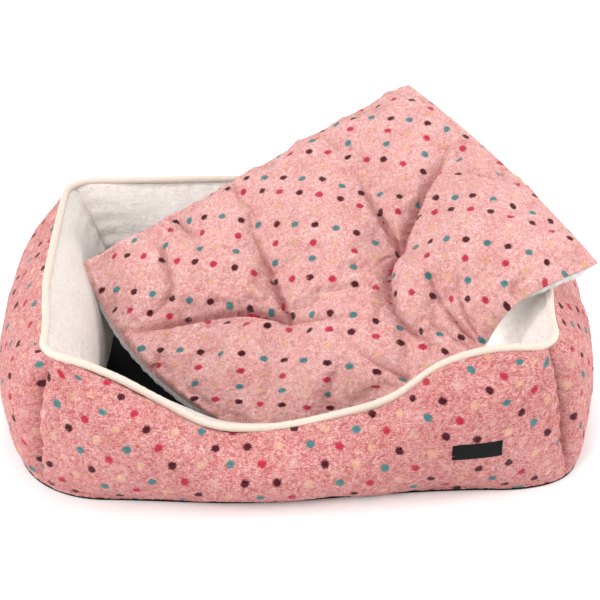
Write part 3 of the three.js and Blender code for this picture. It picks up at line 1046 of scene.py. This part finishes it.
def painted_floor():
    """A plain pale floor with a faint grain."""
    nodes = Nodes("pale_floor")
    place = nodes.add("ShaderNodeTexCoord").outputs["Object"]
    grain = nodes.noise(place, 30.0, 3.0)
    colour = nodes.mix(grain.outputs["Fac"], (0.93, 0.93, 0.93, 1.0), (0.95, 0.95, 0.95, 1.0))
    return nodes.finish(colour, 0.9, nodes.bump(grain.outputs["Fac"], 0.0002, 0.2))


# ---------------- stage, light and camera


FLOOR_HALF = 6.0
FLOOR_GAP = 0.0002  # between the base and the floor


def make_stage():
    mesh = bpy.data.meshes.new("floor")
    height = cad_low.z - FLOOR_GAP
    corners = [(-1, -1), (1, -1), (1, 1), (-1, 1)]
    points = [(x * FLOOR_HALF, y * FLOOR_HALF, height) for x, y in corners]
    mesh.from_pydata(points, [], [(0, 1, 2, 3)])
    mesh.materials.append(painted_floor())
    add_object("floor", mesh)


WORLD_STRENGTH = 0.77
BED_MIDDLE = (0.0, 0.0, 0.08)
# Each light's name, place and target in metres, then its width in metres and its power in watts
LIGHTS = [
    ("top", (0.0, 0.4, 2.2), BED_MIDDLE, 0.8, 19),
    ("front", (-0.9, -1.5, 1.35), BED_MIDDLE, 1.0, 19),
    ("left", (-2.3, -0.7, 0.9), BED_MIDDLE, 1.0, 24),
    ("right", (2.3, -0.3, 0.8), BED_MIDDLE, 1.0, 38),
    # A small one under the raised side of the cushion, where the others can't reach
    ("well", (0.13, -0.055, 0.035), (0.215, -0.075, 0.1), 0.05, 0.17),
]


def area_light(name, place, target, size, power):
    """A round lamp that faces its target."""
    light = bpy.data.lights.new(name, "AREA")
    light.shape = "DISK"
    light.size = size
    light.energy = power
    lamp = add_object(name, light)
    lamp.location = place
    lamp.rotation_euler = (Vector(target) - Vector(place)).to_track_quat("-Z", "Y").to_euler()


def make_lights():
    world = bpy.data.worlds.new("studio")
    bpy.context.scene.world = world
    world.use_nodes = True
    background = world.node_tree.nodes["Background"]
    background.inputs["Color"].default_value = (1.0, 1.0, 1.0, 1.0)
    background.inputs["Strength"].default_value = WORLD_STRENGTH
    for light in LIGHTS:
        area_light(*light)


# The camera looks at the middle of the bed from the front, a little above it.
CAMERA_PITCH = math.radians(32)
CAMERA_YAW = math.radians(-0.95)
CAMERA_LENS = 96.6
CAMERA_DISTANCE = 1.6479
CAMERA_TARGET = Vector((0.0019, 0.0, 0.093))


def make_camera():
    data = bpy.data.cameras.new("camera")
    data.lens = CAMERA_LENS
    data.sensor_width = 36.0
    data.clip_end = 50.0
    camera = add_object("camera", data)
    ahead = Vector((
        -math.sin(CAMERA_YAW) * math.cos(CAMERA_PITCH),
        math.cos(CAMERA_YAW) * math.cos(CAMERA_PITCH),
        -math.sin(CAMERA_PITCH),
    ))
    camera.location = CAMERA_TARGET - ahead * CAMERA_DISTANCE
    camera.rotation_mode = "QUATERNION"
    camera.rotation_quaternion = ahead.to_track_quat("-Z", "Y")
    bpy.context.scene.camera = camera


# ---------------- the whole bed

# Where the print begins on each wall and on the cushion, in millimetres of cloth
PRINT_ON_FRONT = (-286.8, -93.5)
PRINT_ON_CUSHION = (117.2, 53.6)
PRINT_SHIFT = (13.0, 9.0)  # from each wall to the next


def make_bed():
    """Makes the materials, then every piece of the walls and the cushion."""
    level = (0.6, 0.6, 1.9)
    # The walls and the cushion are one pink cloth in two copies with painted light. The walls' copy is
    # darker and redder for the shade on the front wall, and the cushion's is paler for its lit top.
    pink = plush("pink_dotted_plush_shaded_copy", srgb(186, 91, 92), srgb(255, 210, 203), level, spots=True)
    slack = (0.85, 0.85, 1.4)
    deep, tip = srgb(211, 135, 132), srgb(255, 224, 217)
    cushion_pink_lit = plush("pink_cushion_plush_lit_copy", deep, tip, slack, spots=True)
    cream = plush("white_liner_plush", srgb(226, 213, 206), srgb(246, 242, 238), strength=0.8)
    grey = plush("grey_underside_plush", srgb(190, 187, 184), srgb(250, 248, 245), strength=0.8)
    black = woven("black_base_cloth", srgb(26, 26, 30), 1.1, 1.0, 0.75)
    label = woven("black_label_ribbon", srgb(11, 11, 13), 0.7, 0.8, 0.6)
    fibre = fibre_fill()
    base_cloth(black)
    for name, side in SIDES.items():
        anchor = np.array(PRINT_ON_FRONT) + np.array(PRINT_SHIFT) * side["turn"]
        wall_skin(name, 1, OUTER_PLUSH, pink, anchor)
        wall_skin(name, -1, LINER_PLUSH, cream, (0, 0))
        wall_filling(name, fibre)
    rim_piping(piping_cloth())
    woven_label(label)
    top, bottom = cushion_faces()
    cushion_panel(top, 1, cushion_pink_lit, PRINT_ON_CUSHION)
    cushion_panel(bottom, -1, grey, (0, 0))
    cushion_filling(top, bottom, fibre)


make_bed()
make_stage()
make_lights()
make_camera()
bpy.context.scene.view_settings.view_transform = "Standard"
